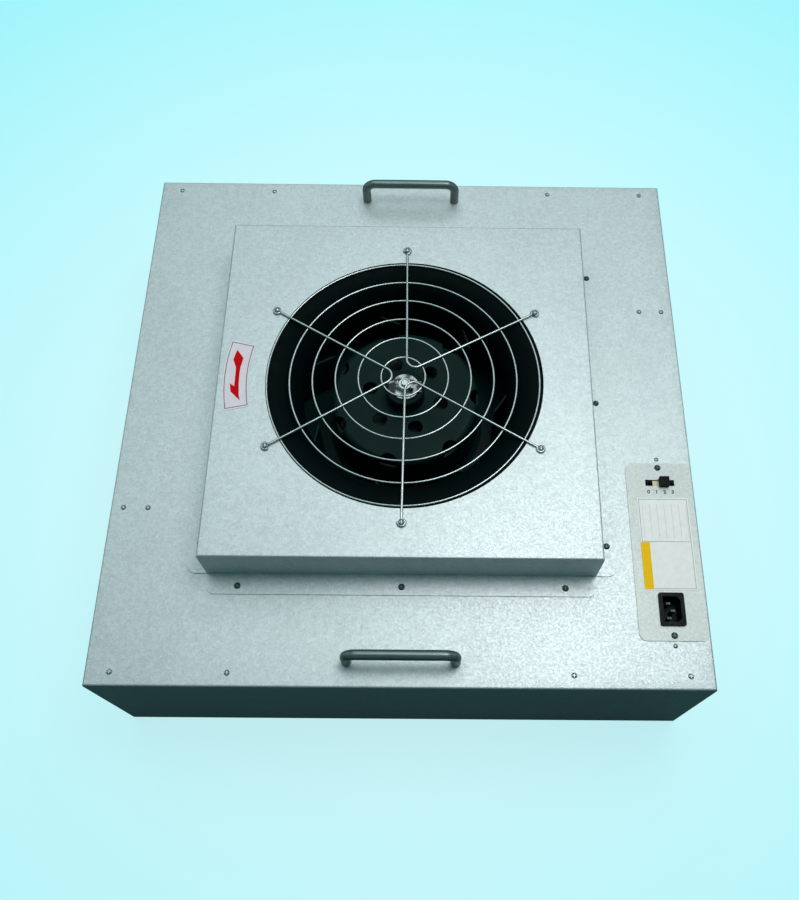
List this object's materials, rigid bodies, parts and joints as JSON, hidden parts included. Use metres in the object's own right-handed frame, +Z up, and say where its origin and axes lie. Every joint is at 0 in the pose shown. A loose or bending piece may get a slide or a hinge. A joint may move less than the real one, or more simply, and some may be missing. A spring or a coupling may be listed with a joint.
{
  "type": "fan filter unit",
  "caption": "Square ceiling fan filter unit: galvanised housing with a raised intake collar, wire guard over a backward-curved fan, lift handles, and a pleated filter below.",
  "frame": {"origin": "centre of the housing's lower edge, which is the bottom centre of the bounding box", "axes": "+Z up out of the intake, +X towards the control plate's side, -Y towards the front edge and its handle"},
  "size_m": [0.575, 0.575, 0.2324],
  "materials": {
    "galvanised_sheet": "fine-spangle galvanised sheet",
    "plate_sheet": "thin galvanised plate",
    "bright_wire": "bright plated wire",
    "bright_steel": "zinc-plated steel",
    "dark_screw": "dull zinc-plated steel",
    "handle_bar": "satin anodised bar",
    "black_plastic": "moulded black plastic",
    "nozzle_black": "gloss black paint",
    "impeller_black": "gloss black moulding",
    "boss_black": "black finish",
    "motor_steel": "grey-black paint",
    "cast_alloy": "die-cast alloy",
    "shaft_steel": "ground steel",
    "core_steel": "stacked laminations",
    "winding_copper": "enamelled copper wire",
    "rubber_black": "matt rubber",
    "cable_sheath": "flexible sheath",
    "ivory_plastic": "moulded ivory plastic",
    "cream_plastic": "moulded cream plastic",
    "sticker_film": "printed film",
    "label_film": "plain film with a yellow field",
    "capacitor_can": "drawn aluminium",
    "filter_alloy": "anodised aluminium",
    "filter_paper": "pleated glass-fibre paper",
    "grille_white": "white powder coat",
    "seal_foam": "closed-cell seal"
  },
  "bodies": {
    "housing": {"housing_shell": "galvanised_sheet", "intake_collar": "galvanised_sheet", "inlet_nozzle": "nozzle_black", "finger_guard": "bright_wire", "guard_screws": "bright_steel", "collar_screws": "dark_screw", "panel_screws": "bright_steel", "handle_front": "handle_bar", "handle_back": "handle_bar", "handle_screws": "bright_steel", "control_plate": "plate_sheet", "plate_screws": "dark_screw", "plate_rivets": "bright_steel", "direction_sticker": "sticker_film", "blank_label": "label_film", "power_inlet": "black_plastic", "inlet_pins": "bright_steel", "switch_body": "bright_steel", "switch_track": "black_plastic", "wiring_box": "galvanised_sheet", "terminal_block": "ivory_plastic", "lead_grommets": "rubber_black", "motor_lead": "cable_sheath", "capacitor_lead": "cable_sheath", "cable_clips": "ivory_plastic", "stator_core": "core_steel", "stator_windings": "winding_copper", "motor_can": "motor_steel", "motor_base": "cast_alloy", "motor_cover": "cast_alloy", "upper_bearing": "shaft_steel", "lower_bearing": "shaft_steel", "motor_mounts": "rubber_black", "motor_screws": "bright_steel", "motor_nuts": "bright_steel", "fan_deck": "galvanised_sheet", "deck_stay_left": "galvanised_sheet", "deck_stay_right": "galvanised_sheet", "stay_screws": "bright_steel", "capacitor": "capacitor_can", "capacitor_clamp": "bright_steel", "capacitor_screws": "bright_steel", "filter_seat": "galvanised_sheet", "filter_gasket": "seal_foam", "filter_frame": "filter_alloy", "filter_media": "filter_paper", "filter_grille": "grille_white", "filter_clamps": "bright_steel", "clamp_bolts": "bright_steel", "clamp_nuts": "bright_steel"},
    "rotor": {"impeller": "impeller_black", "hub_boss": "boss_black", "lock_washer": "bright_steel", "shaft": "shaft_steel", "shaft_nut": "bright_steel", "rotor_core": "core_steel"},
    "knob": {"switch_knob": "black_plastic", "switch_slider": "cream_plastic"}
  },
  "joints": [
    {"name": "impeller_spin", "type": "hinge", "parent": "housing", "child": "rotor", "pos_m": [-0.001, 0.003, 0.16], "axis": [0, 0, 1], "continuous": true},
    {"name": "switch_slide", "type": "slide", "parent": "housing", "child": "knob", "axis": [1, 0, 0], "range_m": [-0.0152, 0.0076]}
  ]
}
